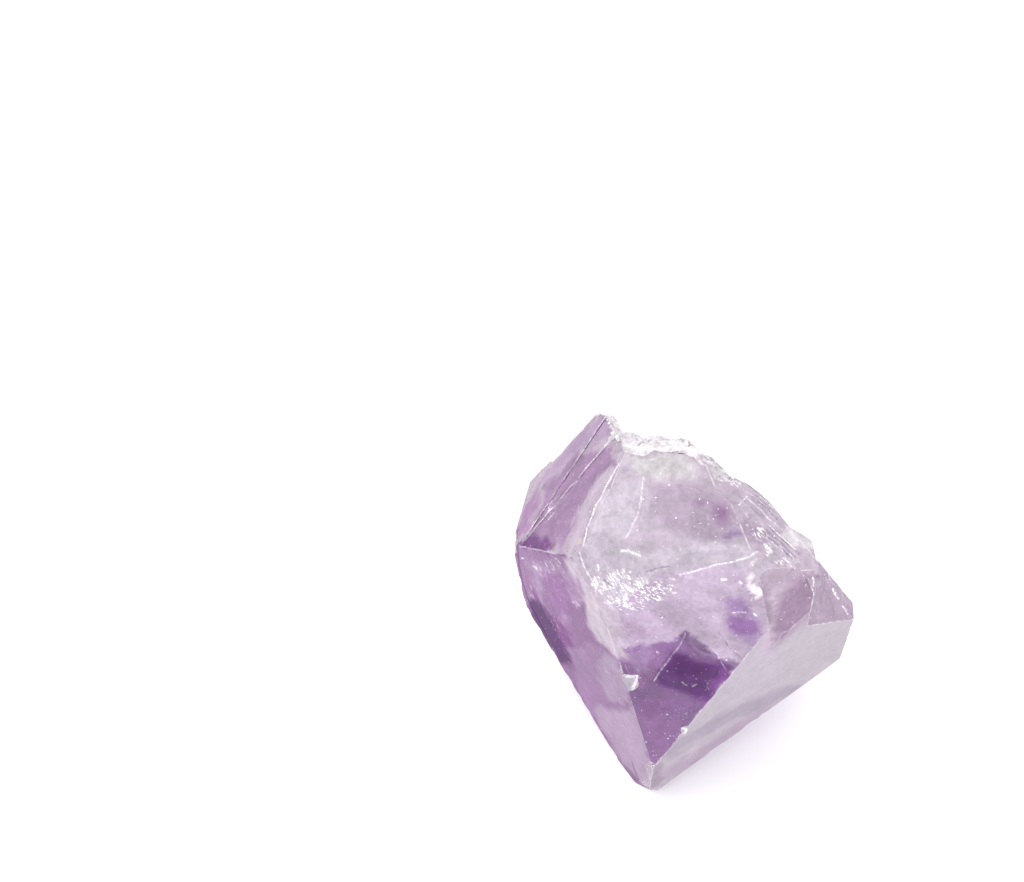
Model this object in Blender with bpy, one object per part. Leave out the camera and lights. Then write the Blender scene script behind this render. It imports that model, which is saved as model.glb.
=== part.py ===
"""Amethyst point: the broken-off tip of one quartz crystal, lying on a pyramid face.

The crystal grew in a hollow rock and was snapped off at its root. Six pyramid faces meet at
the tip, short side faces run back from them, and the root is a crumbly white break. Flaws of
growth and breaking are cut into the plain faceted block, as they were in the stone: notches
beside the right face, growth ledges, shell-shaped chips and the ragged break.

Every flat face is given the way a crystallographer gives it: its azimuth round the crystal's
long axis, its tilt from that axis, and its distance from the tip point. Azimuth 0 is the face
that looks up and forward, and azimuth grows towards the viewer's left. Sizes are in
millimetres until the mesh is written, which is in metres, with +Z up.
"""

import bmesh
import bpy
import numpy as np
from mathutils import Matrix, Vector, noise

MM = 0.001

# How the crystal lies: on the pyramid face opposite the front one, tip forward and down.
PYRAMID_TILT = 51.79  # quartz's own angle between the long axis and a pyramid face's normal
AXIS_HEADING = -103.6  # direction of the tip seen from above, from +X towards +Y
AXIS_DIP = 90.0 - PYRAMID_TILT

# Faces: azimuth and tilt in degrees, distance from the tip point in millimetres.
PYRAMID_FACES = {
    "front": (0.0, PYRAMID_TILT, 2.3),
    "left": (60.0, PYRAMID_TILT, -0.3),
    "left underside": (120.0, PYRAMID_TILT, 4.1),
    "bed": (180.0, PYRAMID_TILT, 3.6),
    "right underside": (240.0, PYRAMID_TILT, 2.1),
    "right": (300.0, PYRAMID_TILT, 0.3),
}
SIDE_FACES = {
    "plateau": (10.0, 106.0, 31.3),
    "upper left": (64.0, 105.0, 25.7),
    "left flank": (98.5, 87.0, 18.15),
    "left shoulder": (111.5, 134.0, 36.0),
    "upper right": (-22.0, 122.0, 38.0),
    "right flank": (-98.0, 105.5, 23.6),
    "right shoulder": (-120.0, 150.0, 29.3),
    "right bevel": (-88.5, 139.5, 32.1),
    "root peak": (65.0, 155.5, 44.3),
    "back": (180.0, 92.0, 23.5),
    "back shoulder": (176.0, 128.0, 32.9),
}
TIP_BRUISE = (20.0, 8.0, 0.1)  # the rubbed point of the tip
BLOCK_SIZE = 160.0  # rough cube that a block is cleaved from, well past the crystal


def crystal_axes():
    """Unit vectors along the long axis to the tip, to azimuth 0, and to azimuth 90."""
    heading = np.radians(AXIS_HEADING)
    dip = np.radians(AXIS_DIP)
    level = np.array([np.cos(heading), np.sin(heading), 0.0])
    up = np.array([0.0, 0.0, 1.0])
    along = np.cos(dip) * level - np.sin(dip) * up
    front = np.sin(dip) * level + np.cos(dip) * up
    return along, front, np.cross(along, front)


ALONG, FRONT, LEFT = crystal_axes()


def outward_normal(azimuth, tilt):
    """The unit normal at that azimuth round the long axis and that tilt from it."""
    turn = np.radians(azimuth)
    lean = np.radians(tilt)
    sideways = np.cos(turn) * FRONT + np.sin(turn) * LEFT
    return np.sin(lean) * sideways + np.cos(lean) * ALONG


def turned_round(face):
    """The same plane with its outer side swapped."""
    azimuth, tilt, distance = face
    return azimuth + 180.0, 180.0 - tilt, -distance


def sunk(face, depth):
    """The plane moved into the stone by a depth."""
    azimuth, tilt, distance = face
    return azimuth, tilt, distance - depth


def place(along, front, left):
    """A point by its distances from the tip: back along the axis, towards azimuth 0, and 90."""
    return -along * ALONG + front * FRONT + left * LEFT


def new_object(name, mesh):
    """An object in the scene made from a bmesh, in metres."""
    bmesh.ops.scale(mesh, vec=(MM, MM, MM), verts=mesh.verts)
    data = bpy.data.meshes.new(name)
    mesh.to_mesh(data)
    mesh.free()
    made = bpy.data.objects.new(name, data)
    bpy.context.scene.collection.objects.link(made)
    return made


def cleaved_block(name, faces):
    """A convex solid: a big cube with everything outside each face cleaved off."""
    mesh = bmesh.new()
    bmesh.ops.create_cube(mesh, size=BLOCK_SIZE)
    for azimuth, tilt, distance in faces:
        outward = Vector(outward_normal(azimuth, tilt))
        parts = list(mesh.verts) + list(mesh.edges) + list(mesh.faces)
        cut = bmesh.ops.bisect_plane(
            mesh, geom=parts, plane_co=outward * distance, plane_no=outward, clear_outer=True
        )
        rim = [part for part in cut["geom_cut"] if isinstance(part, bmesh.types.BMEdge)]
        bmesh.ops.edgeloop_fill(mesh, edges=rim)
    bmesh.ops.recalc_face_normals(mesh, faces=mesh.faces)
    return new_object(name, mesh)


def shaped_by(stone, tool, operation):
    """Joins or cuts the stone with the tool's shape, and ties the tool to it."""
    tool.parent = stone
    tool.hide_render = True
    tool.display_type = "WIRE"
    step = stone.modifiers.new(tool.name, "BOOLEAN")
    step.operation = operation
    step.solver = "EXACT"
    step.object = tool


def carve(stone, cutter):
    """Takes the cutter's shape out of the stone."""
    shaped_by(stone, cutter, "DIFFERENCE")


def notch(name, floor, walls):
    """A cutter for all that lies outside the floor plane and beyond each wall plane."""
    faces = [turned_round(floor)] + [turned_round(wall) for wall in walls]
    return cleaved_block(name, faces)


BALL_DIVISIONS = 5


def shell_chip(name, centre, normal, across, depth):
    """A cutter for a shell-shaped chip: a ball that dips into the surface by a depth."""
    radius = (across * across / 4.0 + depth * depth) / (2.0 * depth)
    mesh = bmesh.new()
    bmesh.ops.create_icosphere(mesh, subdivisions=BALL_DIVISIONS, radius=radius)
    middle = centre + outward_normal(*normal) * (radius - depth)
    bmesh.ops.translate(mesh, vec=Vector(middle), verts=mesh.verts)
    return new_object(name, mesh)


# The snapped root: a ragged surface, seen edge-on as the upper outline. It climbs to a block left
# standing at the upper left, dips, rises to a knob, falls away to the right, and leans back.
BREAK = (45.0, 170.5, 42.0)
BREAK_MIDDLE = (39.0, 18.5, 0.0)  # back from the tip, to the front and to the left
BREAK_WIDTH = 60.0
BREAK_CELLS = 75
BREAK_REACH = 40.0  # how far the cutter stands out past the break
SKYLINE_RIGHT = (-12.2, -10.9, -9.9, -9.2, -4.0, -2.3, -1.4, -0.7, 0.6, 1.4, 3.6, 6.0)
SKYLINE_HEIGHT = (2.9, 2.4, 0.9, 0.4, 0.3, 1.0, 0.7, -0.1, -1.2, -2.2, -2.5, -4.0)
LEAN_BACK = 0.09  # fall of the break per millimetre away from the front
GRAIN_SIZE = 2.4
GRAIN_STEP = 0.7
GRAIN_SPREAD = 7.3  # scales a grain's place so that neighbours break at unlike levels
SWELL_SIZE = 7.0
SWELL_HEIGHT = 0.6
SWELL_LEVEL = 4.0  # where the swells are read from the noise
RIM_DEPTH = 0.4  # how far behind the middle the crumbled front rim reaches
RIM_SLOPE = 0.6
CRUMBLED_RIGHT = (-10.9, -9.5, -2.0, 1.4)
CRUMBLED_SHARE = (0.0, 1.0, 1.0, 0.0)


def break_height(right, deep):
    """Height of the ragged break over its mean plane, at a place to the right and to the rear.

    The skyline runs from left to right, and each grain of it broke at its own level on broad
    swells. The surface leans a little to the rear and crumbles off at the front rim.
    """
    skyline = np.interp(right, SKYLINE_RIGHT, SKYLINE_HEIGHT) - LEAN_BACK * deep
    swell = noise.noise(Vector((right, deep, SWELL_LEVEL)) / SWELL_SIZE) * SWELL_HEIGHT
    nearest = noise.voronoi(Vector((right, deep, 0.0)) / GRAIN_SIZE)[1][0]
    grain = (noise.cell(nearest * GRAIN_SPREAD) - 0.5) * GRAIN_STEP
    crumble = np.interp(right, CRUMBLED_RIGHT, CRUMBLED_SHARE) * max(0.0, RIM_DEPTH - deep)
    return skyline + swell + grain - crumble * RIM_SLOPE


def ragged_break(name):
    """A cutter with a ragged inner side, for the crumbly surface where the root snapped."""
    azimuth, tilt, distance = BREAK
    outward = Vector(outward_normal(azimuth, tilt))
    rightward = Vector(-LEFT)
    rightward = (rightward - outward * rightward.dot(outward)).normalized()
    backward = outward.cross(rightward)
    mesh = bmesh.new()
    bmesh.ops.create_grid(
        mesh, x_segments=BREAK_CELLS, y_segments=BREAK_CELLS, size=BREAK_WIDTH / 2.0
    )
    for corner in mesh.verts:
        corner.co.z = break_height(corner.co.x, corner.co.y)
    rim = [edge for edge in mesh.edges if edge.is_boundary]
    raised = bmesh.ops.extrude_edge_only(mesh, edges=rim)["geom"]
    for part in raised:
        if isinstance(part, bmesh.types.BMVert):
            part.co.z = BREAK_REACH
    lid = [part for part in raised if isinstance(part, bmesh.types.BMEdge) and part.is_boundary]
    bmesh.ops.edgeloop_fill(mesh, edges=lid)
    middle = Vector(place(*BREAK_MIDDLE))
    middle = middle + outward * (distance - middle.dot(outward))
    turn = Matrix((rightward, backward, outward)).transposed().to_4x4()
    bmesh.ops.transform(mesh, matrix=Matrix.Translation(middle) @ turn, verts=mesh.verts)
    bmesh.ops.recalc_face_normals(mesh, faces=mesh.faces)
    return new_object(name, mesh)


for old in list(bpy.data.objects):
    bpy.data.objects.remove(old, do_unlink=True)

crystal = cleaved_block(
    "amethyst_point",
    list(PYRAMID_FACES.values()) + list(SIDE_FACES.values()) + [TIP_BRUISE],
)

# Two notches beside the right face, where a neighbour crystal stopped its growth.
RIGHT_BEVEL = (-36.0, 54.5, 3.4)
RIGHT_BEVEL_WALL = (-95.0, 115.0, 16.6)
carve(crystal, notch("right bevel cutter", RIGHT_BEVEL, [RIGHT_BEVEL_WALL]))
RIGHT_STEP = (-54.0, 100.0, 23.3)
RIGHT_STEP_WALL = (-92.0, 96.5, 15.5)
carve(crystal, notch("right step cutter", RIGHT_STEP, [RIGHT_STEP_WALL]))

# Growth ledges along the right shoulder, each lower than the one before.
LEDGE_WALLS = ((-91.4, 146.4, 30.6), (-90.5, 145.4, 31.5), (-89.7, 145.4, 33.0))
LEDGE_DROP = 0.45
for count, wall in enumerate(LEDGE_WALLS, start=1):
    floor = sunk(SIDE_FACES["upper right"], LEDGE_DROP * count)
    carve(crystal, notch(f"ledge cutter {count}", floor, [wall]))

# The last ledge stands out past the shoulder as a short block.
STANDING_LEDGE = {
    "top": (-92.6, 159.0, 34.5),
    "end": (-87.2, 112.0, 24.2),
    "tip side": (-90.0, 20.0, -22.2),
    "front": (-22.0, 122.0, 36.5),
    "rear": (-120.0, 150.0, 30.3),
    "root": (91.0, 40.0, -30.0),
}
shaped_by(crystal, cleaved_block("standing ledge", STANDING_LEDGE.values()), "UNION")

# Growth ledges across the hidden back, from its own neighbours in the rock.
BACK_LEDGES = (
    # face, wall on the tip side, depth below the face
    ("back shoulder", (200.0, 35.0, -13.0), 0.5),
    ("back shoulder", (184.0, 30.0, -21.5), 1.2),
    ("left shoulder", (60.0, 25.0, -25.0), 0.7),
)
for count, (face, wall, depth) in enumerate(BACK_LEDGES, start=1):
    floor = sunk(SIDE_FACES[face], depth)
    carve(crystal, notch(f"back ledge cutter {count}", floor, [turned_round(wall)]))

# Long flutes down the upper left face, where it grew against a neighbour.
FLUTES = (
    # wall on the left, wall on the right, depth
    ((85.5, 120.0, 29.4), (86.0, 111.5, 23.3), 0.12),
    ((84.5, 113.0, 27.8), (86.0, 116.0, 26.4), 0.07),
)
for count, (left_wall, right_wall, depth) in enumerate(FLUTES, start=1):
    floor = sunk(SIDE_FACES["upper left"], depth)
    walls = [turned_round(left_wall), right_wall]
    carve(crystal, notch(f"flute cutter {count}", floor, walls))

# Shell-shaped chips.
CHIPS = (
    # back from the tip, to the front and to the left; azimuth and tilt; width; depth
    ((24.0, 22.0, 5.5), (25.0, 75.0), 8.6, 0.55),
    ((27.5, 24.6, -1.5), (0.0, 80.0), 10.0, 0.5),
    ((19.8, 18.6, 7.6), (30.0, 60.0), 4.6, 0.5),
    ((13.8, 13.8, 3.3), (30.0, 55.0), 2.2, 0.35),
    ((9.4, 10.3, -3.1), (-30.0, 60.0), 1.5, 0.3),
    ((29.5, 22.6, 10.3), (40.0, 105.0), 3.5, 0.5),
    ((33.5, 21.6, 9.5), (40.0, 105.0), 2.6, 0.4),
    ((24.8, 3.4, 20.1), (85.0, 85.0), 3.4, 0.45),
    ((28.9, 10.5, -15.3), (-80.0, 120.0), 2.4, 0.3),
)
for count, (spot, lean, across, depth) in enumerate(CHIPS, start=1):
    carve(crystal, shell_chip(f"chip cutter {count}", place(*spot), lean, across, depth))

carve(crystal, ragged_break("root break cutter"))

# Amethyst: clear pale violet quartz.
AMETHYST_COLOUR = (0.62, 0.48, 0.74, 1.0)
AMETHYST_ROUGHNESS = 0.12
AMETHYST_TRANSMISSION = 0.6
QUARTZ_IOR = 1.544
amethyst = bpy.data.materials.new("amethyst")
amethyst.use_nodes = True
surface = amethyst.node_tree.nodes["Principled BSDF"]
surface.inputs["Base Color"].default_value = AMETHYST_COLOUR
surface.inputs["Roughness"].default_value = AMETHYST_ROUGHNESS
surface.inputs["Metallic"].default_value = 0.0
surface.inputs["IOR"].default_value = QUARTZ_IOR
surface.inputs["Transmission Weight"].default_value = AMETHYST_TRANSMISSION
crystal.data.materials.append(amethyst)

# The stone's natural reference point: the middle of its outline, on the surface it lies on.
bpy.context.view_layer.update()
shape = crystal.evaluated_get(bpy.context.evaluated_depsgraph_get())
corners = np.array([corner[:] for corner in shape.bound_box])
low = corners.min(axis=0)
high = corners.max(axis=0)
crystal.location = Vector((-(low[0] + high[0]) / 2.0, -(low[1] + high[1]) / 2.0, -low[2]))
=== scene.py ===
"""Amethyst point, snapped off its rock and lying on a white table in soft daylight.

The crystal is one piece of quartz. Its faces come from the frame. This script cuts them finer,
roughens the broken places, and gives the stone its clear, milky and violet zones, with painted
shade, highlights and glints laid into its colour.
"""

import bmesh
import bpy
import numpy as np
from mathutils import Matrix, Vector
from mathutils.bvhtree import BVHTree


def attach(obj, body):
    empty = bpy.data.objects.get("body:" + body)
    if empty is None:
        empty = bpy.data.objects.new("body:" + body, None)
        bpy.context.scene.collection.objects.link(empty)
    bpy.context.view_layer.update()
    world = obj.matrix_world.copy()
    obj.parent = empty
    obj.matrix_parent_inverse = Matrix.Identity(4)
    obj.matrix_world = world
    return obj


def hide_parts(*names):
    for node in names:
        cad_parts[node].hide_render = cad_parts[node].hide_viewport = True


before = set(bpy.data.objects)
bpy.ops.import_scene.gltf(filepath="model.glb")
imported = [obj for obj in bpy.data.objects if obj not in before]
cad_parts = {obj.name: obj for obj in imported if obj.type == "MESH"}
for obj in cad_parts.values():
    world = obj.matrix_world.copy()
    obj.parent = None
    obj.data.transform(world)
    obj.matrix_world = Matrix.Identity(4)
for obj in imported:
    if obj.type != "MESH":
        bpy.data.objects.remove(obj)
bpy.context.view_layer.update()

# The crystal: one piece of quartz, grown in a hollow rock and snapped off at its root. Its faces
# are as flat as they grew, its edges are rubbed, and the root and the chips broke like glass.
# Places on it are in millimetres: back from the tip along the crystal, and to its left.
MM = 0.001
PYRAMID_TILT = 51.79  # degrees from the long axis to a pyramid face's normal, in all quartz
AXIS_HEADING = -103.6  # the tip's direction seen from above
PYRAMID_DISTANCES = {0.0: 2.3, 60.0: -0.3, 300.0: 0.3}  # azimuth: millimetres from the tip point


def crystal_axes():
    """Unit vectors to the tip, to azimuth 0 (up and forward) and to azimuth 90 (left)."""
    heading = np.radians(AXIS_HEADING)
    dip = np.radians(90.0 - PYRAMID_TILT)
    level = np.array([np.cos(heading), np.sin(heading), 0.0])
    up = np.array([0.0, 0.0, 1.0])
    along = np.cos(dip) * level - np.sin(dip) * up
    front = np.sin(dip) * level + np.cos(dip) * up
    return along, front, np.cross(along, front)


ALONG, FRONT, LEFT = crystal_axes()


def outward_normal(azimuth, tilt):
    """The unit normal at an azimuth round the long axis and a tilt from it, in degrees."""
    turn, lean = np.radians(azimuth), np.radians(tilt)
    sideways = np.cos(turn) * FRONT + np.sin(turn) * LEFT
    return np.sin(lean) * sideways + np.cos(lean) * ALONG


def merged_triangles(node):
    """The node's loose triangles as shared points in millimetres and faces of three."""
    data = node.data
    points = np.empty(len(data.vertices) * 3, np.float32)
    data.vertices.foreach_get("co", points)
    data.calc_loop_triangles()
    faces = np.empty(len(data.loop_triangles) * 3, np.int32)
    data.loop_triangles.foreach_get("vertices", faces)
    points = points.reshape(-1, 3).astype(float) / MM
    _, first, index = np.unique(
        np.round(points, 3), axis=0, return_index=True, return_inverse=True
    )
    faces = index.reshape(-1)[faces].reshape(-1, 3)
    after = np.roll(faces, -1, axis=1)
    return points[first], faces[(faces != after).all(axis=1)]


def face_normals(points, faces):
    """Unit normals and areas: half the cross product of two sides of each triangle."""
    one, two, three = (points[faces[:, side]] for side in range(3))
    normal = np.cross(two - one, three - one)
    size = np.linalg.norm(normal, axis=1)
    return normal / np.maximum(size, 1e-12)[:, None], size / 2.0


NORMAL_STEP, PLANE_STEP = 1.0 / 150.0, 0.12  # how far apart planes have to be to count as two


def flat_area(points, faces):
    """For each triangle the area of all that lie in one plane with it, in square millimetres.

    Triangles share a plane when their normals and their distances from the origin round alike.
    """
    normal, area = face_normals(points, faces)
    distance = (normal * points[faces[:, 0]]).sum(axis=1)
    alike = np.column_stack([np.round(normal / NORMAL_STEP), np.round(distance / PLANE_STEP)])
    _, plane = np.unique(alike, axis=0, return_inverse=True)
    plane = plane.reshape(-1)
    return np.bincount(plane, weights=area)[plane]


def sides_of(faces):
    """Each edge's two ends once, and the three edges of each triangle."""
    ends = np.concatenate([faces[:, [0, 1]], faces[:, [1, 2]], faces[:, [2, 0]]])
    ends, of_side = np.unique(np.sort(ends, axis=1), axis=0, return_inverse=True)
    return ends, of_side.reshape(3, -1).T


EDGE_ANGLE = 15.0  # the least angle in degrees between facets that meet in an edge


def facet_edges(points, faces, flat):
    """Start and end points of the edges where two of the flat facets meet at an angle."""
    ends, of_side = sides_of(faces)
    order = np.argsort(of_side.reshape(-1), kind="stable")
    pairs = (order // 3).reshape(-1, 2)
    normal, _ = face_normals(points, faces)
    alike = (normal[pairs[:, 0]] * normal[pairs[:, 1]]).sum(axis=1)
    bent = (alike < np.cos(np.radians(EDGE_ANGLE))) & flat[pairs].all(axis=1)
    return points[ends[bent, 0]], points[ends[bent, 1]]


# A triangle's kind has three columns: whether it is flat, on the shown side, and at the root.
FLAT, SHOWN, ROOT = 0, 1, 2
KIND_BITS = (1, 2, 4)
FEW_EDGES = 0.002  # the share of edges that may stay too long
COPLANAR = 0.004  # the largest angle, in radians, between triangles that count as one plane


def halved_edges(points, faces, kind, longest):
    """Halves each edge that is too long, and cuts its triangles to match, until few are.

    A triangle with one long edge becomes two, with two long edges three, with three four. Where
    any edge of a triangle is halved, its longest one is too, so the triangles don't get thinner.
    """
    while True:
        ends, of_side = sides_of(faces)
        length = np.linalg.norm(points[ends[:, 0]] - points[ends[:, 1]], axis=1)
        votes = [np.bincount(of_side.reshape(-1), np.repeat(one, 3), len(ends)) for one in kind.T]
        too_long = length > longest(points[ends].mean(axis=1), np.stack(votes, axis=1) > 0)
        if too_long.mean() < FEW_EDGES:
            return points, faces, kind
        longest_side = of_side[np.arange(len(faces)), length[of_side].argmax(axis=1)]
        while not too_long[longest_side[too_long[of_side].any(axis=1)]].all():
            too_long[longest_side[too_long[of_side].any(axis=1)]] = True
        middle = np.full(len(ends), -1)
        middle[too_long] = len(points) + np.arange(too_long.sum())
        points = np.concatenate([points, points[ends[too_long]].mean(axis=1)])
        cut = middle[of_side]
        count = (cut >= 0).sum(axis=1)
        # turned so that a lone long edge comes first, and a lone short edge last
        start = np.where(count == 1, (cut >= 0).argmax(axis=1), 0)
        start = np.where(count == 2, ((cut < 0).argmax(axis=1) + 1) % 3, start)
        turn = (start[:, None] + np.arange(3)) % 3
        a, b, c = np.take_along_axis(faces, turn, axis=1).T
        ab, bc, ca = np.take_along_axis(cut, turn, axis=1).T
        pieces = {
            0: [(a, b, c)],
            1: [(a, ab, c), (ab, b, c)],
            2: [(ab, b, bc), (a, ab, bc), (a, bc, c)],
            3: [(a, ab, ca), (ab, b, bc), (ca, bc, c), (ab, bc, ca)],
        }
        cut_faces, cut_kind = [], []
        for many, triangles in pieces.items():
            here = count == many
            for corners in triangles:
                cut_faces.append(np.stack([corner[here] for corner in corners], axis=1))
                cut_kind.append(kind[here])
        faces, kind = np.concatenate(cut_faces), np.concatenate(cut_kind)


def evened(points, faces, kind):
    """Turns edges between coplanar triangles the other way where that makes them less thin."""
    data = bpy.data.meshes.new("evened")
    data.from_pydata(points.tolist(), [], faces.tolist())
    data.polygons.foreach_set("material_index", (kind @ KIND_BITS).astype(np.int32))
    built = bmesh.new()
    built.from_mesh(data)
    coplanar = [
        edge
        for edge in built.edges
        if edge.calc_face_angle(1.0) < COPLANAR
        and edge.link_faces[0].material_index == edge.link_faces[1].material_index
    ]
    bmesh.ops.beautify_fill(built, faces=built.faces[:], edges=coplanar, method="ANGLE")
    built.to_mesh(data)
    built.free()
    points = np.empty(len(data.vertices) * 3)
    data.vertices.foreach_get("co", points)
    faces = np.empty(len(data.polygons) * 3, np.int32)
    data.polygons.foreach_get("vertices", faces)
    tags = np.empty(len(data.polygons), np.int32)
    data.polygons.foreach_get("material_index", tags)
    bpy.data.meshes.remove(data)
    kind = (tags[:, None] & KIND_BITS) > 0
    return points.reshape(-1, 3), faces.reshape(-1, 3), kind


def rise(value, low, high):
    """0 below low, 1 above high, and a smooth step between them."""
    share = np.clip((value - low) / (high - low), 0.0, 1.0)
    return share * share * (3.0 - 2.0 * share)


def to_segments(places, starts, ends):
    """The distance from each place to the nearest of the segments, in as many dimensions."""
    nearest = np.full(len(places), np.inf)
    for start, end in zip(starts, ends):
        way = end - start
        share = np.clip((places - start) @ way / max(way @ way, 1e-12), 0.0, 1.0)
        gap = np.linalg.norm(places - start - share[:, None] * way, axis=1)
        nearest = np.minimum(nearest, gap)
    return nearest


def inside(places, outline):
    """How far each place is inside an outline, less than 0 outside, by the even-odd rule."""
    starts, ends = outline, np.roll(outline, -1, axis=0)
    odd = np.zeros(len(places), bool)
    for start, end in zip(starts, ends):
        if start[1] != end[1]:
            crosses = (places[:, 1] < start[1]) != (places[:, 1] < end[1])
            share = (places[:, 1] - start[1]) / (end[1] - start[1])
            odd ^= crosses & (places[:, 0] < start[0] + share * (end[0] - start[0]))
    gap = to_segments(places, starts, ends)
    return np.where(odd, gap, -gap)


GRID = 32  # the random numbers repeat after this many steps
RANDOM_TABLE = np.random.default_rng(7).random((GRID, GRID, GRID, 6))


def grain_noise(places, size):
    """For places in the stone: the nearest grain's own three random numbers, and the way to it.

    Grain centres are scattered one to a cube of that size, and each place looks in 27 cubes.
    """
    scaled = places / size
    cube = np.floor(scaled).astype(int)
    nearest = np.full(len(places), np.inf)
    own = np.zeros((len(places), 3))
    way = np.zeros((len(places), 3))
    for step in np.ndindex(3, 3, 3):
        other = cube + np.array(step) - 1
        random = RANDOM_TABLE[tuple((other % GRID).T)]
        offset = other + random[:, :3] - scaled
        gap = (offset**2).sum(axis=1)
        closer = gap < nearest
        nearest[closer] = gap[closer]
        own[closer] = random[closer, 3:]
        way[closer] = offset[closer] * size
    return own, way


def soft_noise(places, size, column=5):
    """Smooth noise from 0 to 1: random numbers on a cubic grid, blended between its corners."""
    scaled = places / size
    cube = np.floor(scaled).astype(int)
    part = scaled - cube
    part = part * part * (3.0 - 2.0 * part)
    total = np.zeros(len(places))
    for step in np.ndindex(2, 2, 2):
        corner = np.array(step)
        share = np.where(corner == 1, part, 1.0 - part).prod(axis=1)
        total += share * RANDOM_TABLE[tuple(((cube + corner) % GRID).T)][:, column]
    return total


points, faces = merged_triangles(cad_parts["amethyst_point"])
normals = np.stack([outward_normal(azimuth, PYRAMID_TILT) for azimuth in PYRAMID_DISTANCES])
offsets = (points @ normals.T).max(axis=0) - np.array(list(PYRAMID_DISTANCES.values()))
TIP = np.linalg.solve(normals, offsets)

# The view that the photo was taken from. The stone's fine lines and zones are drawn in this
# view, in the photo's pixels, and carried to the stone along the lines of sight.
CAMERA_PLACE = TIP + np.array([-15.58, -71.29, 154.56])
CAMERA_LOOKS_DOWN = 51.52
LENS, SENSOR_WIDTH = 50.0, 36.0
PHOTO_WIDTH, PHOTO_HEIGHT = 1024, 882
STONE_MIDDLE = (680, 610)
PIXEL = 0.111  # how many millimetres of the stone a pixel covers
STONE = BVHTree.FromPolygons(points.tolist(), faces.tolist())


def on_stone(pixels):
    """Where the lines of sight through some pixels meet the stone, as places on it.

    A pixel that just misses the stone moves in to the stone's middle by hundredths of the way.
    """
    down = np.radians(CAMERA_LOOKS_DOWN)
    ahead = np.array([0.0, np.cos(down), -np.sin(down)]) * PHOTO_WIDTH * LENS / SENSOR_WIDTH
    below = np.array([0.0, -np.sin(down), -np.cos(down)])
    right = np.array([1.0, 0.0, 0.0])
    met = []
    for pixel in np.array(pixels, float):
        for share in np.arange(0.0, 0.6, 0.01):
            x, y = pixel + (STONE_MIDDLE - pixel) * share
            sight = ahead + right * (x - PHOTO_WIDTH / 2) + below * (y - PHOTO_HEIGHT / 2)
            point = STONE.ray_cast(CAMERA_PLACE, sight)[0]
            if point is not None:
                met.append(point)
                break
    from_tip = np.array(met) - TIP
    return np.stack([-from_tip @ ALONG, from_tip @ LEFT], axis=1)
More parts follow.
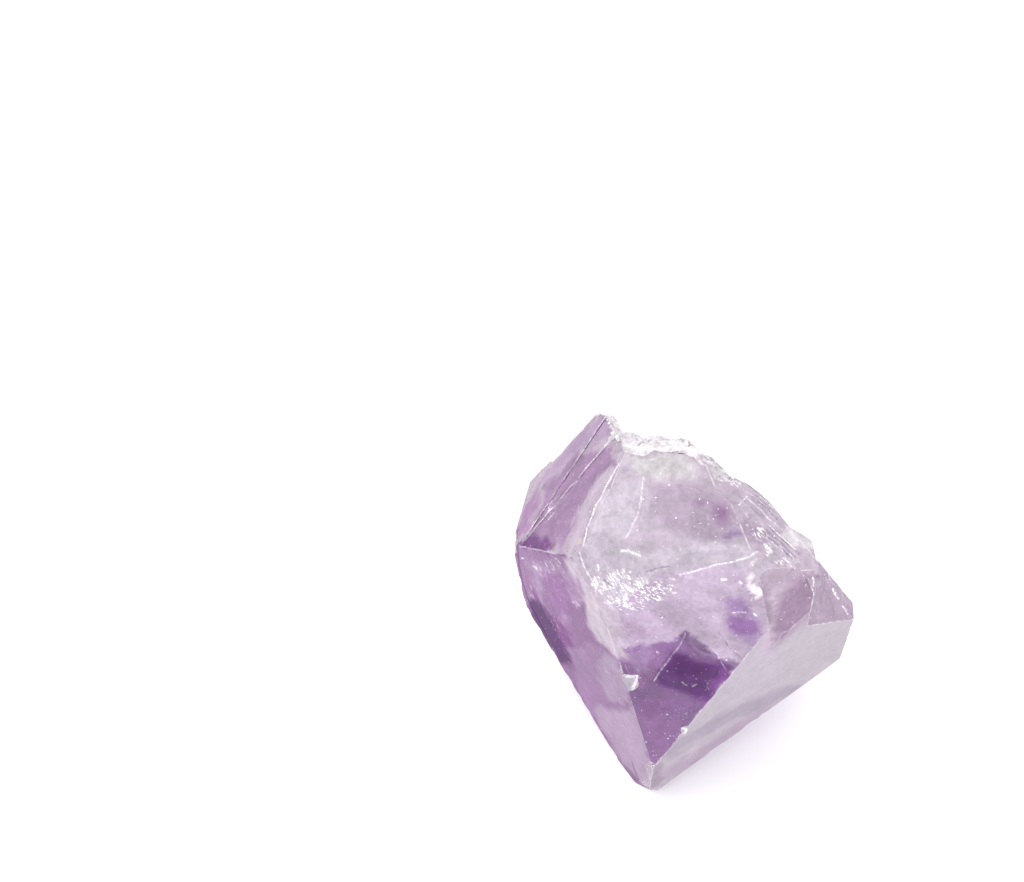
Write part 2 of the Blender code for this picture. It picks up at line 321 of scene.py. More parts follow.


# Cracks that healed pale, growth lines, ridges, small chips, and painted highlights and glints
# (the highlight, glints and stars): each one's name, tone, width and course, in pixels. A blurred
# line looks wider in the photo than it is, so they are drawn thinner.
LINES = (
    ("flute 1", "pale", 1.3, ((607, 416), (520, 547))),
    ("flute 2", "pale", 1.3, ((616, 434), (520, 547))),
    ("streak 1", "pale", 0.8, ((748, 486), (778, 511))),
    ("streak 2", "white", 0.8, ((747, 491), (780, 518))),
    ("streak 3", "pale", 0.8, ((748, 499), (778, 526))),
    ("streak 4", "white", 1, ((767, 523), (795, 549))),
    ("slash", "white", 1.2, ((738.5, 505), (746.5, 496))),
    ("upper left ridge", "white", 1.3, ((619, 463), (604, 490), (596, 505), (587, 527),
      (583, 545))),
    ("plateau ridge", "pale", 1.3, ((643, 478), (641, 500), (637, 517), (625, 538))),
    ("highlight", "white", 2, ((621, 551), (630, 552), (640, 556))),
    ("healed crack", "white", 1.3, ((680, 574), (700, 570), (712, 566), (730, 562), (749, 557),
      (757, 551))),
    ("dark tip, crack", "pale", 1.1, ((686, 633), (680, 645), (672, 655), (660, 672), (653, 682))),
    ("corner crack", "pale", 0.8, ((712, 648), (720, 660), (727, 671))),
    ("corner dark line", "dark", 0.9, ((718, 632), (728, 645), (741, 658))),
    ("bevel edge", "white", 1.4, ((812, 578), (813, 598), (811, 612))),
    ("stripe 1", "dark", 0.7, ((762, 530), (793, 559))),
    ("stripe 2", "dark", 0.7, ((766, 529), (796, 557))),
    ("stripe 3", "dark", 0.6, ((771, 529), (799, 554))),
    ("upper stripe 1", "dark", 0.5, ((752, 494), (781, 519))),
    ("upper stripe 2", "dark", 0.5, ((748, 492), (778, 520))),
    ("left rim line", "dark", 1.2, ((514.5, 527), (518, 546), (519, 565), (523, 584),
      (530, 604), (540, 622), (547, 636))),
    ("dark mark 1", "dark", 1.4, ((604, 579), (613, 587))),
    ("dark mark 2", "dark", 1.2, ((645, 571), (656, 569), (668, 566))),
    ("tip mark", "dark", 1.2, ((632, 762), (635, 770), (638, 779))),
    ("upper left glint", "white", 1.2, ((547, 513), (558, 502))),
    ("foot glint 1", "white", 1.4, ((521, 558), (524, 559))),
    ("foot glint 2", "white", 1.2, ((532, 565), (537, 569))),
    ("foot glint 3", "white", 1.4, ((544, 562), (547, 566))),
    ("foot glint 4", "white", 1.2, ((556, 559), (560, 563))),
    ("chip 1", "white", 2.6, ((627, 677), (638, 676), (632, 690))),
    ("chip 2", "white", 2.2, ((681, 729), (687, 730), (684, 734))),
    ("chip 3", "white", 2.2, ((833, 589), (838, 598))),
    ("chip 4", "white", 1.6, ((843, 605), (849, 614))),
    ("purple patch, line", "white", 1, ((732, 613), (745, 611))),
    ("purple patch, glint", "white", 2, ((754, 613), (757, 616))),
    ("dark glint 1", "white", 0.8, ((682, 682), (686, 685))),
    ("dark glint 2", "white", 0.8, ((692, 686), (697, 684))),
    # the stars are painted highlights, small points of white where light catches
    ("star 1", "white", 1.4, ((656, 652), (658, 653))),
    ("star 2", "white", 1.2, ((667, 714), (668, 715))),
    ("star 3", "white", 1.2, ((686, 714), (687, 715))),
    ("star 4", "white", 1.8, ((669, 579), (673, 580))),
    ("star 5", "white", 2.2, ((721, 580), (726, 580))),
    ("star 6", "white", 1.8, ((739, 581), (740, 583))),
    ("left ridge", "white", 1.3, ((579, 552), (584, 567), (592, 580), (596, 592))),
    ("star 7", "white", 1.6, ((790, 565), (791, 567))),
    ("star 8", "white", 3, ((766, 545), (772, 551))),
)
THINNER = 0.85
DRAWN_LINES = [
    (tone, width * THINNER * PIXEL, on_stone(course)) for _, tone, width, course in LINES
]
LINE_WOBBLE, WOBBLE_SIZE = 0.12, 1.1  # how far, and over what length, lines stray in millimetres
LINE_FULL, LINE_GONE = 0.25, 0.9  # in line widths from a line's middle


def back_and_left(points):
    """The places of points back from the tip and to the left, shaken a little by soft noise."""
    places = np.stack([-(points - TIP) @ ALONG, (points - TIP) @ LEFT], axis=1)
    shake = [soft_noise(points, WOBBLE_SIZE, column) for column in (3, 4)]
    return places + (np.stack(shake, axis=1) - 0.5) * 2.0 * LINE_WOBBLE


def line_mask(places, tone):
    """1 on the lines of a tone and 0 off them, with edges as soft as the lines are narrow."""
    mask = np.zeros(len(places))
    for line_tone, width, course in DRAWN_LINES:
        if line_tone == tone:
            gap = to_segments(places, course[:-1], course[1:])
            mask = np.maximum(mask, 1.0 - rise(gap, LINE_FULL * width, LINE_GONE * width))
    return mask


# How finely the surface is cut, in millimetres: near the lines, on the side that lies upward, on
# breaks and facets of the other side, and on the break at the root.
NEAR_LINES, SHOWN_SIDE, HIDDEN_BREAK, HIDDEN_FACET = 0.17, 0.68, 0.7, 1.5
ROOT_BREAK = 0.36
ROOT_START = 36.5  # how far back the break at the root begins
LINE_REACH = 0.08
EVENING_SIZES = (4.0, 1.5, 0.0)  # how coarse the cutting still is at each evening-out


def longest_edge(middles, kind):
    """The length that edges with those middles may keep."""
    longest = np.where(kind[:, FLAT], HIDDEN_FACET, HIDDEN_BREAK)
    longest = np.where(kind[:, SHOWN], SHOWN_SIDE, longest)
    longest = np.where(kind[:, ROOT], ROOT_BREAK, longest)
    shown = np.flatnonzero(kind[:, SHOWN])
    places = back_and_left(middles[shown])
    for _, width, course in DRAWN_LINES:
        close = to_segments(places, course[:-1], course[1:]) < width + LINE_REACH
        longest[shown[close]] = NEAR_LINES
    return longest


FLAT_AREA, LARGE_AREA = 2.5, 14.0  # the least area of a flat facet, and of one with rubbed edges
FACES_FRONT = 0.02  # the least share of a normal that points to the front on the shown side
area = flat_area(points, faces)
edge_starts, edge_ends = facet_edges(points, faces, area > LARGE_AREA)
normal, _ = face_normals(points, faces)
at_root = (area <= FLAT_AREA) & ((TIP - points[faces].mean(axis=1)) @ ALONG > ROOT_START)
kind = np.stack([area > FLAT_AREA, normal @ FRONT > FACES_FRONT, at_root], axis=1)
for size in EVENING_SIZES:
    points, faces, kind = evened(points, faces, kind)
    points, faces, kind = halved_edges(
        points, faces, kind, lambda middles, kinds: np.maximum(longest_edge(middles, kinds), size)
    )
flat, shown = kind[:, FLAT], kind[:, SHOWN]

# Relief, all of it cut inward: breaks are hackly, with small splintered grains each tilted its
# own way, edges are nicked where they rubbed on others, and the fine lines are shallow grooves.
HACKLE_SIZE, HACKLE_DEPTH, HACKLE_TILT = 0.9, 0.3, 1.0
SPLINTER_SIZE, SPLINTER_TILT = 0.36, 0.7
CHIP_HACKLE = 0.06  # chips are this share as rough as the break at the root
NICK_SIZE, NICK_DEPTH, NICK_REACH = 1.1, 0.16, 0.35
NICK_NOISE = (0.5, 0.8)  # nicks begin and are deepest at these values of the noise
GROOVE_DEPTH = 0.05
ROOT_BLEND = 1.5  # the break at the root grows as rough as it gets over this length
UNCUT_FOOT = 0.05  # nothing is cut away this near the table

corner = faces.reshape(-1)
normal, area = face_normals(points, faces)
point_normal = np.stack(
    [np.bincount(corner, np.repeat(normal[:, k] * area, 3), len(points)) for k in range(3)],
    axis=1,
)
point_normal /= np.linalg.norm(point_normal, axis=1, keepdims=True)
broken_area = np.bincount(corner, np.repeat(area * ~flat, 3), len(points))
all_area = np.bincount(corner, np.repeat(area, 3), len(points))
brokenness = broken_area / np.maximum(all_area, 1e-12)


def root_share(places):
    """1 on the break at the root and 0 on the chips nearer the tip."""
    return rise(places[:, 0], ROOT_START, ROOT_START + ROOT_BLEND)


places = back_and_left(points)
own, way = grain_noise(points, HACKLE_SIZE)
fine_own, fine_way = grain_noise(points, SPLINTER_SIZE)
hackle = own[:, 0] * HACKLE_DEPTH + np.abs((way * (own - 0.5)).sum(axis=1)) * HACKLE_TILT
hackle += np.abs((fine_way * (fine_own - 0.5)).sum(axis=1)) * SPLINTER_TILT
hackle *= brokenness * (CHIP_HACKLE + (1.0 - CHIP_HACKLE) * root_share(places))
rubbed = to_segments(points, edge_starts, edge_ends)
nick = rise(soft_noise(points, NICK_SIZE), *NICK_NOISE) * NICK_DEPTH
nick *= 1.0 - rise(rubbed, 0.0, NICK_REACH)
pale_line, dark_line = line_mask(places, "pale"), line_mask(places, "dark")
white_line = line_mask(places, "white")
groove = np.where(point_normal @ FRONT > FACES_FRONT, np.maximum(dark_line, white_line), 0.0)
sunk = hackle + nick + groove * GROOVE_DEPTH
sunk[points[:, 2] < UNCUT_FOOT] = 0.0
flat_points = points
points = points - point_normal * sunk[:, None]


def linear(hex_colour):
    """A colour written as sRGB hex, turned to linear red, green, blue and alpha."""
    parts = np.array([int(hex_colour[place : place + 2], 16) for place in (1, 3, 5)]) / 255.0
    parts = np.where(parts <= 0.04045, parts / 12.92, ((parts + 0.055) / 1.055) ** 2.4)
    return (*parts.tolist(), 1.0)


# Growth zones. Iron colours the stone violet, tiny bubbles cloud it, and both change from zone
# to zone as it grew. Each facet has a colour and a clearness, from 0 for milk to 1 for glass.
# The facet colours are also partly painted light and shade: a facet is paler or darker by which
# way it faces.
COLOURS = {
    "inky violet": "#420852",
    "deep violet": "#501f61",
    "wine violet": "#5a2066",
    "dark violet": "#6f3376",
    "grape": "#7e3591",
    "dull violet": "#7e5185",
    "dusty violet": "#816185",
    "violet": "#87568f",
    "soft violet": "#8a648d",
    "bright violet": "#8d5e9a",
    "heather": "#917497",
    "blue violet": "#977ea5",
    "light violet": "#98689f",
    "pale heather": "#9c809f",
    "ashen heather": "#a18da1",
    "lilac": "#a984b4",
    "ash": "#aa98ab",
    "cool ash": "#ada1b2",
    "pale ash": "#b4a6b4",
    "mauve": "#b898b6",
    "milky grey": "#bab0bc",
    "stone grey": "#bab5b8",
    "milky rose": "#bda6bd",
    "orchid": "#bb84cf",
    "silver": "#c3b9c3",
    "milky lilac": "#c5b2c8",
    "milk": "#c7c2c6",
    "pale orchid": "#c8a7d3",
    "rosy milk": "#cdb9cb",
    "bright orchid": "#d3aae3",
    "flake white": "#e6d8de",
    "iron brown": "#603736",
    "iron buff": "#b5aa98",
}
FACETS = {  # azimuth, tilt, colour, clearness
    "front": (0, 51.79, "milky lilac", 0.5),
    "left": (60, 51.79, "dark violet", 0.38),
    "right": (300, 51.79, "silver", 0.45),
    "plateau": (10, 106, "pale ash", 0.4),
    "upper left": (64, 105, "ashen heather", 0.45),
    "upper right": (-22, 122, "pale ash", 0.3),
    "right bevel": (-36, 54.5, "rosy milk", 0.55),
    "right step": (-54, 100, "milky rose", 0.5),
}
# The zones laid over the facets: each one's name, the facet that keeps it, its shape, colour,
# clearness, softness in pixels and outline. Later ones lie over earlier ones.
ZONES = (
    ("dark tip", "front", "area", "bright violet", 0.7, 2, ((619, 653), (632, 648), (650, 648),
      (661, 641), (680, 640), (686, 631), (700, 640), (712, 650), (722, 662), (738, 665),
      (729, 677), (711, 702), (694, 722), (682, 737), (665, 763), (645, 763), (638, 735),
      (632, 700), (630, 690), (622, 677))),
    ("dark tip, foot", "front", "area", "light violet", 0.65, 4, ((632, 712), (660, 716),
      (688, 716), (684, 737), (665, 763), (645, 763), (637, 735))),
    ("dark tip, left", "front", "area", "light violet", 0.6, 3, ((619, 655), (650, 649),
      (668, 655), (655, 682), (640, 690), (627, 676))),
    ("dark tip, right", "front", "area", "grape", 0.6, 2.5, ((702, 662), (736, 667), (712, 702),
      (697, 698), (716, 680))),
    ("dark tip, pale patch", "front", "area", "lilac", 0.6, 2, ((630, 655), (646, 647),
      (654, 658), (646, 674), (633, 671))),
    ("dark tip, mauve patch", "front", "area", "violet", 0.6, 2, ((641, 695), (668, 698),
      (673, 711), (652, 722), (641, 711))),
    ("dark tip, streak", "front", "streak", "bright violet", 0.6, 2.2, ((651, 746), (667, 720),
      (689, 706))),
    ("dark tip, vein", "front", "streak", "lilac", 0.6, 2, ((690, 640), (703, 652), (722, 660),
      (735, 668))),
    # painted shade seen through the front face near the tip, with its heart and mist below
    ("painted shade", "front", "area", "deep violet", 0.3, 4.5, ((668, 652), (690, 655),
      (712, 662), (722, 669), (714, 682), (706, 698), (680, 693), (653, 686), (661, 668))),
    ("painted shade, heart", "front", "area", "inky violet", 0.3, 4, ((672, 657), (692, 659),
      (708, 668), (700, 676), (684, 678), (668, 668))),
    ("painted shade, mist", "front", "area", "deep violet", 0.4, 3, ((662, 678), (676, 676),
      (690, 683), (684, 690), (668, 686))),
    ("purple patch", "front", "area", "pale orchid", 0.6, 1.6, ((729, 598), (735, 595),
      (750, 598), (750, 606), (757, 612), (764, 624), (765, 640), (758, 647), (743, 645),
      (732, 636), (727, 616))),
    ("purple patch, top", "front", "area", "bright orchid", 0.7, 1.6, ((731, 600), (745, 597),
      (750, 604), (744, 610), (731, 609))),
    ("purple patch, heart", "front", "area", "orchid", 0.7, 1.8, ((730, 617), (748, 614),
      (757, 621), (758, 633), (744, 639), (732, 630))),
    ("blade", "near front", "area", "flake white", 0.1, 0.8, ((752.4, 563), (748.5, 577),
      (749.5, 589), (753.5, 600), (759.5, 596), (756, 583))),
    ("front mauve", "front", "area", "milky rose", 0.5, 3, ((612, 618), (628, 618), (650, 628),
      (640, 642), (620, 638))),
    ("front light", "front", "area", "milky lilac", 0.4, 5, ((688, 585), (726, 582), (724, 640),
      (700, 630))),
    ("milky corner", "front", "area", "milky lilac", 0.4, 2, ((705, 640), (722, 640),
      (740, 656), (737, 665), (722, 660))),
    # painted shade: the dark reflected in the left face, here and in the patch below
    ("left, broad painted shade", "near left", "area", "dark violet", 0.2, 3, ((533, 592), (543, 588),
      (556, 606), (566, 625), (580, 655), (588, 680), (575, 672), (555, 645), (540, 620))),
    ("left, painted shade", "near left", "area", "inky violet", 0.1, 4, ((528, 599), (541, 600),
      (550, 616), (558, 633), (565, 649), (569, 662), (562, 664), (552, 654), (542, 640),
      (531, 615))),
    ("left upper violet", None, "area", "heather", 0.2, 4, ((525, 560), (575, 565), (582, 600),
      (565, 625), (540, 600))),
    ("left violet patch", "near left", "area", "dull violet", 0.25, 2.5, ((543, 570),
      (559, 573), (573, 594), (576, 611), (562, 618), (553, 616), (544, 601))),
    ("left milky", None, "area", "pale ash", 0.25, 3, ((565, 555), (592, 565), (612, 600),
      (630, 660), (612, 653), (598, 640), (588, 622), (583, 600))),
    ("left grey", "left", "area", "dull violet", 0.38, 4, ((565, 650), (598, 645), (618, 660),
      (632, 700), (600, 705), (578, 680))),
    ("left pale grey", "left", "area", "heather", 0.38, 2.5, ((602, 654), (618, 658),
      (628, 690), (632, 702), (612, 702), (600, 680))),
    ("left lilac", "left", "area", "violet", 0.38, 2.5, ((575, 675), (584, 680), (606, 715),
      (622, 745), (616, 750), (596, 722), (578, 692))),
    ("left lower", "left", "area", "pale heather", 0.38, 5, ((592, 708), (640, 705), (650, 760),
      (640, 795), (620, 770))),
    ("upper violet band", "near upper left", "area", "dusty violet", 0.25, 3, ((575, 452),
      (612, 450), (618, 462), (594, 482), (580, 503), (572, 520), (560, 548), (520, 548),
      (535, 516), (545, 487), (560, 466))),
    ("upper dark foot", "near upper left", "area", "wine violet", 0.2, 2.5, ((517, 543),
      (530, 532), (550, 542), (556, 550), (545, 558), (520, 558))),
    ("upper pale strip", "near upper left", "area", "soft violet", 0.3, 2.5, ((522, 503),
      (540, 488), (535, 513), (525, 533), (517, 538))),
    ("upper outer", "near upper left", "area", "heather", 0.35, 3, ((556, 440), (583, 420),
      (600, 412), (614, 430), (585, 445), (560, 463), (545, 483), (528, 500))),
    ("iron stain 1", None, "spot", "iron brown", 0.3, 3, ((555, 547),)),
    ("iron stain 2", None, "spot", "iron buff", 0.3, 2.6, ((580, 543),)),
    ("upper wall strip", None, "streak", "heather", 0.5, 2.5, ((610, 430), (598, 438), (586, 446))),
    ("upper pale seam", "near upper left", "streak", "ash", 0.4, 4, ((612, 470), (593, 490),
      (577, 528), (568, 556))),
    ("beside the left ridge", None, "area", "milky grey", 0.5, 1.5, ((580, 552), (589, 552),
      (595, 574), (585, 565))),
    ("plateau blue white", None, "area", "milky grey", 0.35, 4, ((605, 490), (641, 478),
      (637, 520), (624, 540), (600, 562), (588, 545), (590, 520))),
    ("plateau top", None, "area", "stone grey", 0.3, 5, ((622, 455), (660, 453), (690, 460),
      (702, 472), (660, 482), (630, 472))),
    ("plateau mauve", None, "area", "ash", 0.45, 6, ((650, 490), (700, 482), (733, 505),
      (740, 535), (700, 540), (660, 525))),
    ("plateau spot 1", None, "spot", "soft violet", 0.45, 7, ((719, 511),)),
    ("plateau spot 2", None, "spot", "blue violet", 0.45, 7, ((730, 531),)),
    ("plateau spot 3", None, "spot", "pale heather", 0.45, 6, ((700, 505),)),
    ("plateau spot 4", None, "spot", "cool ash", 0.45, 5, ((628, 468),)),
    ("plateau foot", None, "area", "milky grey", 0.35, 4, ((620, 560), (680, 545), (745, 540),
      (750, 556), (700, 568), (640, 580))),
    ("scoop light", None, "area", "milky lilac", 0.35, 4, ((660, 578), (745, 562), (747, 580),
      (740, 595), (690, 600), (665, 598))),
    ("upper right grey", None, "area", "ash", 0.4, 3, ((735, 512), (758, 524), (766, 546),
      (742, 548))),
    ("standing ledge", None, "area", "milk", 0.2, 2.5, ((780, 521), (795, 525), (811, 540),
      (812, 552), (795, 545))),
    ("right bevel", None, "area", "mauve", 0.6, 5, ((782, 600), (806, 575), (814, 590),
      (812, 614), (768, 652), (774, 630))),
    ("right bevel, rim", None, "streak", "rosy milk", 0.4, 3.5, ((774, 590), (771, 620),
      (765, 650))),
    ("right step, rim", None, "streak", "rosy milk", 0.6, 2.5, ((820, 562), (832, 583),
      (848, 600))),
    ("right low", "right", "streak", "milky rose", 0.5, 8, ((660, 778), (700, 755), (765, 715))),
    ("right middle", "right", "streak", "cool ash", 0.45, 9, ((670, 752), (730, 715), (800, 690))),
    ("tip grain", None, "area", "ashen heather", 0.5, 2.5, ((648, 761), (664, 761), (662, 790),
      (640, 792))),
)
# Where crumbs and flakes of the surface sparkle, painted as white glints: name, strength,
# softness in pixels and outline.
SPARKLING = (
    ("fracture", 1, 4, ((588, 575), (600, 565), (625, 565), (650, 575), (665, 585), (680, 590),
      (680, 600), (650, 603), (640, 614), (615, 612), (598, 600))),
    ("left flecks 1", 0.45, 3, ((518, 556), (560, 556), (566, 572), (545, 577), (523, 570))),
    ("left flecks 2", 0.5, 2, ((526, 585), (536, 585), (540, 600), (530, 603))),
    ("left flecks 3", 0.5, 2, ((548, 613), (560, 615), (563, 628), (552, 630))),
    ("left flecks 4", 0.45, 2, ((566, 594), (580, 597), (586, 612), (572, 610))),
    ("upper left flecks", 0.45, 2, ((540, 505), (560, 490), (566, 505), (545, 525))),
    ("upper right crumbs", 0.85, 4, ((740, 500), (760, 520), (795, 555), (800, 575), (770, 560),
      (745, 530))),
    ("shoulder crumbs", 0.6, 3, ((712, 470), (735, 468), (748, 482), (740, 492), (720, 480))),
    ("ledge crumbs", 0.6, 2, ((797, 555), (810, 562), (814, 592), (806, 592), (800, 572))),
    ("left flank", 0.25, 4, ((525, 560), (565, 560), (570, 600), (565, 640), (545, 625))),
    ("tip", 0.4, 3, ((645, 758), (668, 758), (660, 788), (640, 788))),
    ("upper left band", 0.2, 4, ((545, 500), (580, 460), (612, 452), (600, 480), (560, 545),
      (530, 550))),
)
ZONE_WARP = ((1.7, 0.55), (0.6, 0.24))  # grain size and reach of the noise that frays the zones
STREAK_FULL, STREAK_GONE = 0.4, 1.6  # in softnesses from a streak's or a spot's middle
SAME_FACET, NEAR_FACET = 1.5, 30.0  # how many degrees from a facet's normal

frayed = back_and_left(flat_points)
for size, reach in ZONE_WARP:
    shake = [soft_noise(flat_points, size, column) for column in (4, 5)]
    frayed = frayed + (np.stack(shake, axis=1) - 0.5) * 2.0 * reach


def zone_mask(shape, softness, pixels):
    """How much of a zone each point has: within an outline, along a streak, or round a spot."""
    softness, outline = softness * PIXEL, on_stone(pixels)
    if shape == "area":
        return rise(inside(frayed, outline), -softness, softness)
    ends = outline[1:] if len(outline) > 1 else outline
    gap = to_segments(frayed, outline[: len(ends)], ends)
    return 1.0 - rise(gap, STREAK_FULL * softness, STREAK_GONE * softness)


def laid_over(paint, mask, colour, clear):
    """The paint with a colour and a clearness laid over it, as thickly as the mask says."""
    return paint + mask[:, None] * (np.array([*linear(colour)[:3], clear]) - paint)


TIP_COLOUR, TIP_CLEAR = "#9c78b0", 0.6  # the sides that face away are deep at the tip
BODY_COLOUR, BODY_CLEAR = "#cbbad2", 0.4  # and pale from there back
FADE = (6.0, 30.0)  # how far back the deep colour begins to fade, and is gone
WALL_CLEAR, CHIP_CLEAR, ROOT_CLEAR = 0.1, 0.35, 0.12

broken = np.repeat(~flat, 3).astype(float)
root = root_share(places)[corner] * broken
seen = np.repeat(shown, 3).astype(float)
tip_paint = np.tile([*linear(TIP_COLOUR)[:3], TIP_CLEAR], (len(corner), 1))
paint = laid_over(tip_paint, rise(frayed[corner, 0], *FADE), BODY_COLOUR, BODY_CLEAR)
paint = laid_over(paint, np.repeat(flat & shown, 3), COLOURS["milky lilac"], WALL_CLEAR)
paint = laid_over(paint, broken, COLOURS["milky grey"], CHIP_CLEAR)
same_way = {None: np.ones(len(corner))}
for name, (azimuth, tilt, colour, clear) in FACETS.items():
    alike = normal @ outward_normal(azimuth, tilt)
    same_way[name] = np.repeat(flat & (alike > np.cos(np.radians(SAME_FACET))), 3).astype(float)
    same_way["near " + name] = np.repeat(alike > np.cos(np.radians(NEAR_FACET)), 3).astype(float)
    paint = laid_over(paint, same_way[name], COLOURS[colour], clear)
for _, facet, shape, colour, clear, softness, outline in ZONES:
    mask = zone_mask(shape, softness, outline)[corner] * seen * same_way[facet]
    paint = laid_over(paint, mask, COLOURS[colour], clear)
paint = laid_over(paint, root, COLOURS["milk"], ROOT_CLEAR)
sparkle = np.zeros(len(flat_points))
for _, strength, softness, outline in SPARKLING:
    sparkle = np.maximum(sparkle, strength * zone_mask("area", softness, outline))

SHARP_ANGLE = 13.0  # degrees from which an edge of the surface catches the light as an edge
EDGE_REACH = 2.0  # how far from the rubbed edges the surface still knows them
data = bpy.data.meshes.new("amethyst crystal")
data.from_pydata((points * MM).tolist(), [], faces.tolist())
pigment = data.attributes.new("pigment", "FLOAT_COLOR", "CORNER")
opaque = np.ones((len(corner), 1))
pigment.data.foreach_set("color", np.hstack([paint[:, :3], opaque]).astype(np.float32).reshape(-1))
PAINTED = {
    "clear": paint[:, 3],
    "broken": root,
    "white line": white_line[corner] * seen,
    "pale line": pale_line[corner] * seen,
    "dark line": dark_line[corner] * seen,
    "sparkle": sparkle[corner] * seen,
    "frost": same_way["right"],
    "rubbed": np.minimum(rubbed[corner], EDGE_REACH),
}
for name, values in PAINTED.items():
    layer = data.attributes.new(name, "FLOAT", "CORNER")
    layer.data.foreach_set("value", values.astype(np.float32))
data.shade_smooth()
data.set_sharp_from_angle(angle=np.radians(SHARP_ANGLE))
crystal = bpy.data.objects.new("amethyst_crystal", data)
bpy.context.scene.collection.objects.link(crystal)


def add(tree, kind, output=0, **values):
    """A new node, given as one of its outputs.

    Values with lower-case names are the node's own settings. Capitalised ones are its inputs,
    with underscores for spaces, and in_0, in_1 and so on are inputs by number. An input's value
    may be another node's output.
    """
    made = tree.nodes.new("ShaderNode" + kind)
    for name, value in values.items():
        if name.startswith("in_"):
            socket = made.inputs[int(name[3:])]
        elif name[0].isupper():
            socket = made.inputs[name.replace("_", " ")]
        else:
            setattr(made, name, value)
            continue
        if isinstance(value, bpy.types.NodeSocket):
            tree.links.new(value, socket)
        else:
            socket.default_value = value
    return made.outputs[output]


# Amethyst: quartz coloured violet by iron. Clear in places, clouded with tiny bubbles of liquid
# in others, white as sugar where it broke, and polished only by its own growth.
QUARTZ_IOR = 1.544
RUBBED_GLOSS = 0.1  # a fifth of the shader's own 0.5, because the whole stone is rubbed dull
quartz = bpy.data.materials.new("amethyst quartz")
quartz.use_nodes = True
tree = quartz.node_tree
surface = tree.nodes["Principled BSDF"]
place = add(tree, "TexCoord", "Object")
pigment = add(tree, "Attribute", "Color", attribute_name="pigment")
painted = {name: add(tree, "Attribute", "Fac", attribute_name=name) for name in PAINTED}

# noises: how many millimetres wide their lumps are, their finer layers, and how strong those are
noise = {}
for name, size, detail, roughness in (
    ("wide", 3.2, 3.0, 0.5),
    ("middling", 1.2, 3.0, 0.6),
    ("fine", 0.4, 2.0, 0.6),
    ("specks", 0.26, 1.0, 0.5),
):
    scale = 1.0 / (size * MM)
    noise[name] = add(
        tree, "TexNoise", Vector=place, Scale=scale, Detail=detail, Roughness=roughness
    )

# fibres: their width in millimetres, how many times longer they are, and where they run
for name, size, stretch, along in (
    ("fibres", 0.2, 4.0, ALONG - 0.9 * LEFT),
    ("cross fibres", 0.16, 5.0, 0.25 * ALONG - LEFT),
):
    turn = Vector(along).to_track_quat("X", "Z").to_euler()
    longer = (stretch, 1.0, 1.0)
    drawn = add(
        tree, "Mapping", vector_type="TEXTURE", Vector=place, Rotation=turn, Scale=longer
    )
    noise[name] = add(tree, "TexNoise", Vector=drawn, Scale=1.0 / (size * MM), Detail=2.0)

# each of these is carried smoothly from one range of values to another
carried = {}
for name, value, low, high, to_low, to_high in (
    ("wide clouds", noise["wide"], 0.3, 0.7, -0.05, 0.05),
    ("middling clouds", noise["middling"], 0.25, 0.75, -0.075, 0.075),
    ("fine clouds", noise["fine"], 0.25, 0.75, -0.05, 0.05),
    ("crumbs", noise["fine"], 0.3, 0.6, 0.55, 1.0),
    ("glint clouds", noise["middling"], 0.3, 0.7, -0.08, 0.05),
    ("glint places", painted["sparkle"], 0.0, 0.6, 0.0, 1.0),
    ("stray glints", noise["specks"], 0.73, 0.775, 0.0, 0.7),
    ("white specks", noise["specks"], 0.38, 0.66, 0.25, 0.8),
    ("pale specks", noise["specks"], 0.4, 0.62, 0.1, 0.5),
    ("dark specks", noise["specks"], 0.3, 0.6, 0.3, 0.65),
    ("dullness", painted["clear"], 0.15, 0.7, 0.5, 0.08),
):
    ranges = {"From_Min": low, "From_Max": high, "To_Min": to_low, "To_Max": to_high}
    carried[name] = add(
        tree, "MapRange", interpolation_type="SMOOTHSTEP", Value=value, **ranges
    )

# the pigment, with the cloudiness that makes it lighter and darker from place to place
clouds = carried["wide clouds"]
for name in ("middling clouds", "fine clouds"):
    clouds = add(tree, "Math", operation="ADD", in_0=clouds, in_1=carried[name])
cloudiness = add(tree, "Math", operation="SUBTRACT", in_0=1.9, in_1=painted["frost"])
shade = add(tree, "Math", operation="MULTIPLY_ADD", in_0=clouds, in_1=cloudiness, in_2=1.0)
colour = add(tree, "HueSaturation", "Color", Value=shade, Color=pigment)

# painted white glints on crumbs and flakes, along their fibres
fibres = add(
    tree, "Math", operation="MAXIMUM", in_0=noise["fibres"], in_1=noise["cross fibres"]
)
glints = add(
    tree, "Math", operation="MULTIPLY_ADD", in_0=painted["sparkle"], in_1=0.12, in_2=fibres
)
glints = add(tree, "Math", operation="ADD", in_0=glints, in_1=carried["glint clouds"])
glints = add(
    tree,
    "MapRange",
    interpolation_type="SMOOTHSTEP",
    Value=glints,
    From_Min=0.66,
    From_Max=0.82,
    To_Max=0.85,
)
glints = add(tree, "Math", operation="MULTIPLY", in_0=glints, in_1=carried["glint places"])

# edges worn white where they rubbed, and the white and pale lines, broken up by specks
worn = add(
    tree,
    "Math",
    operation="MULTIPLY_ADD",
    in_0=noise["middling"],
    in_1=0.45,
    in_2=painted["rubbed"],
)
worn = add(
    tree,
    "MapRange",
    interpolation_type="SMOOTHSTEP",
    Value=worn,
    From_Min=0.16,
    From_Max=0.36,
    To_Min=0.4,
    To_Max=0.0,
)
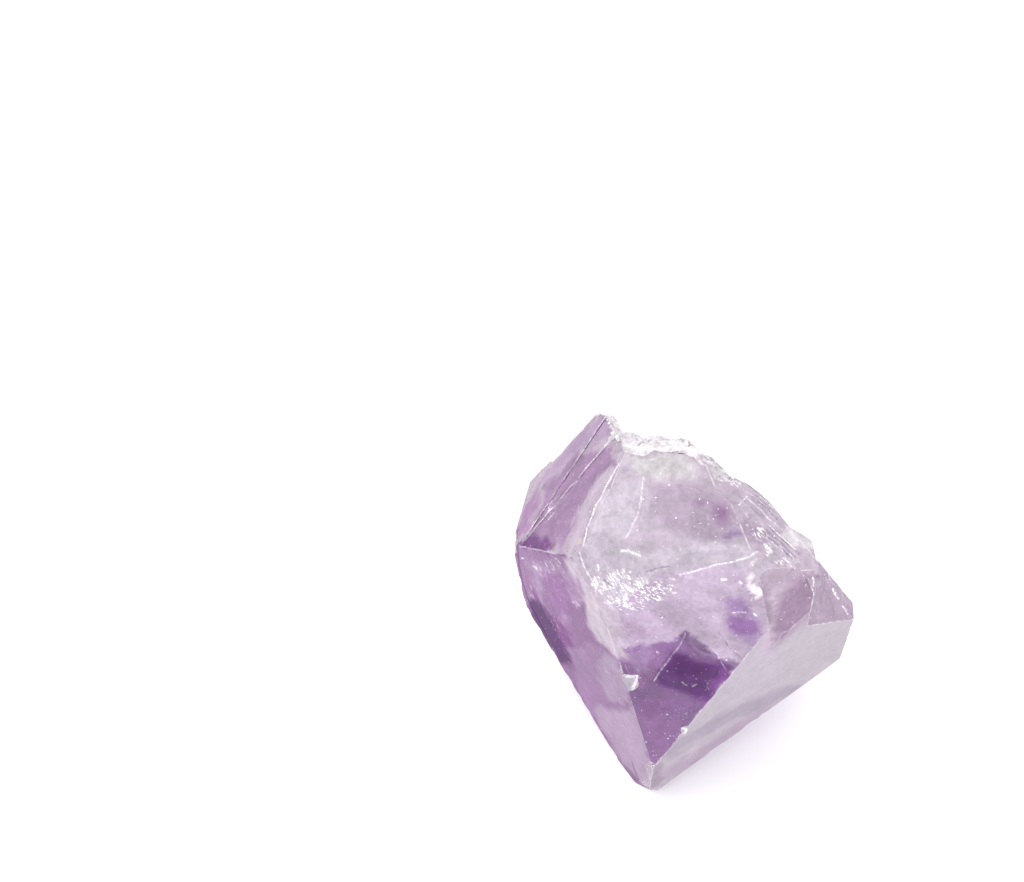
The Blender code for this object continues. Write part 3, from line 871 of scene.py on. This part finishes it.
# the whites: painted glints, worn edges, and the lines, some of them painted highlights
white = add(tree, "Math", operation="MAXIMUM", in_0=carried["stray glints"], in_1=glints)
white = add(tree, "Math", operation="MAXIMUM", in_0=white, in_1=worn)
for tone in ("white", "pale"):
    line, specks = painted[tone + " line"], carried[tone + " specks"]
    line = add(tree, "Math", operation="MULTIPLY", in_0=line, in_1=specks)
    white = add(tree, "Math", operation="MAXIMUM", in_0=white, in_1=line)
dark = add(
    tree, "Math", operation="MULTIPLY", in_0=painted["dark line"], in_1=carried["dark specks"]
)
for share, tone in ((white, "#ffffff"), (dark, "#4c3358")):
    tone = linear(tone)
    colour = add(tree, "Mix", 2, data_type="RGBA", in_0=share, in_6=colour, in_7=tone)

# how solid the surface is: lines, glints and the break at the root let less light in
crumbs = add(
    tree, "Math", operation="MULTIPLY", in_0=painted["broken"], in_1=carried["crumbs"]
)
solid = add(tree, "Math", operation="MULTIPLY", in_0=crumbs, in_1=0.8)
for share in (white, dark):
    solid = add(tree, "Math", operation="MAXIMUM", in_0=solid, in_1=share)
open_share = add(tree, "Math", operation="SUBTRACT", in_0=1.0, in_1=solid)
clear = add(
    tree, "Math", operation="MULTIPLY", use_clamp=True, in_0=painted["clear"], in_1=open_share
)
rough = carried["dullness"]
for share, more in ((painted["frost"], 0.2), (solid, 0.25)):
    rough = add(
        tree, "Math", operation="MULTIPLY_ADD", use_clamp=True, in_0=share, in_1=more, in_2=rough
    )

# a slight swell of the faces
BUMP_STRENGTH, BUMP_HEIGHT = 0.35, 0.05 * MM
height = add(tree, "Math", operation="MULTIPLY", in_0=noise["wide"], in_1=0.6)
height = add(
    tree, "Math", operation="MULTIPLY_ADD", in_0=noise["fine"], in_1=0.1, in_2=height
)
swell = add(
    tree, "Bump", "Normal", Strength=BUMP_STRENGTH, Distance=BUMP_HEIGHT, Height=height
)
for name, value in (
    ("Base Color", colour),
    ("Transmission Weight", clear),
    ("Roughness", rough),
    ("Normal", swell),
):
    tree.links.new(value, surface.inputs[name])
surface.inputs["IOR"].default_value = QUARTZ_IOR
surface.inputs["Specular IOR Level"].default_value = RUBBED_GLOSS
VIOLET_GLASS, VIOLET_DEPTH = "#c9aee0", 18.0  # the colour inside, and how fast it deepens
absorb = add(
    tree, "VolumeAbsorption", "Volume", Color=linear(VIOLET_GLASS), Density=VIOLET_DEPTH
)
tree.links.new(absorb, tree.nodes["Material Output"].inputs["Volume"])
crystal.data.materials.append(quartz)

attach(crystal, "root")
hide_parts("amethyst_point")

# The table: matt white card, far wider than the view.
TABLE_SIZE = 4.0
TABLE_GAP = 0.05 * MM
CARD_WHITE, CARD_ROUGHNESS = "#fafafa", 0.9
half = TABLE_SIZE / 2.0
table_corners = [(-half, -half), (half, -half), (half, half), (-half, half)]
table_data = bpy.data.meshes.new("white table")
table_data.from_pydata([(x, y, -TABLE_GAP) for x, y in table_corners], [], [(0, 1, 2, 3)])
table = bpy.data.objects.new("white_table", table_data)
bpy.context.scene.collection.objects.link(table)
card = bpy.data.materials.new("matt white card")
card.use_nodes = True
card_surface = card.node_tree.nodes["Principled BSDF"]
card_surface.inputs["Base Color"].default_value = linear(CARD_WHITE)
card_surface.inputs["Roughness"].default_value = CARD_ROUGHNESS
table.data.materials.append(card)

# Daylight: a bright overcast sky all round, and one large soft window from the upper left.
SKY_COLOUR, SKY_STRENGTH = "#ffffff", 1.55
WINDOW_SIZE = 0.3
WINDOW_POWER = 0.7
WINDOW_PLACE = (-0.20, 0.06, 0.34)
world = bpy.data.worlds.new("daylight")
bpy.context.scene.world = world
world.use_nodes = True
sky = world.node_tree.nodes["Background"]
sky.inputs["Color"].default_value = linear(SKY_COLOUR)
sky.inputs["Strength"].default_value = SKY_STRENGTH
window_light = bpy.data.lights.new("window", "AREA")
window_light.shape = "DISK"
window_light.size = WINDOW_SIZE
window_light.energy = WINDOW_POWER
window = bpy.data.objects.new("window", window_light)
bpy.context.scene.collection.objects.link(window)
window.location = WINDOW_PLACE
window.rotation_euler = (-Vector(WINDOW_PLACE)).to_track_quat("-Z", "Y").to_euler()

# The camera looks down on the front face, nearly at right angles to the crystal's long axis.
NEAREST = 5.0 * MM  # nothing nearer than this is drawn
camera_data = bpy.data.cameras.new("camera")
camera_data.lens = LENS
camera_data.sensor_width = SENSOR_WIDTH
camera_data.clip_start = NEAREST
camera = bpy.data.objects.new("camera", camera_data)
bpy.context.scene.collection.objects.link(camera)
camera.location = CAMERA_PLACE * MM
camera.rotation_euler = (np.radians(90.0 - CAMERA_LOOKS_DOWN), 0.0, 0.0)
bpy.context.scene.camera = camera
bpy.context.scene.view_settings.view_transform = "Standard"
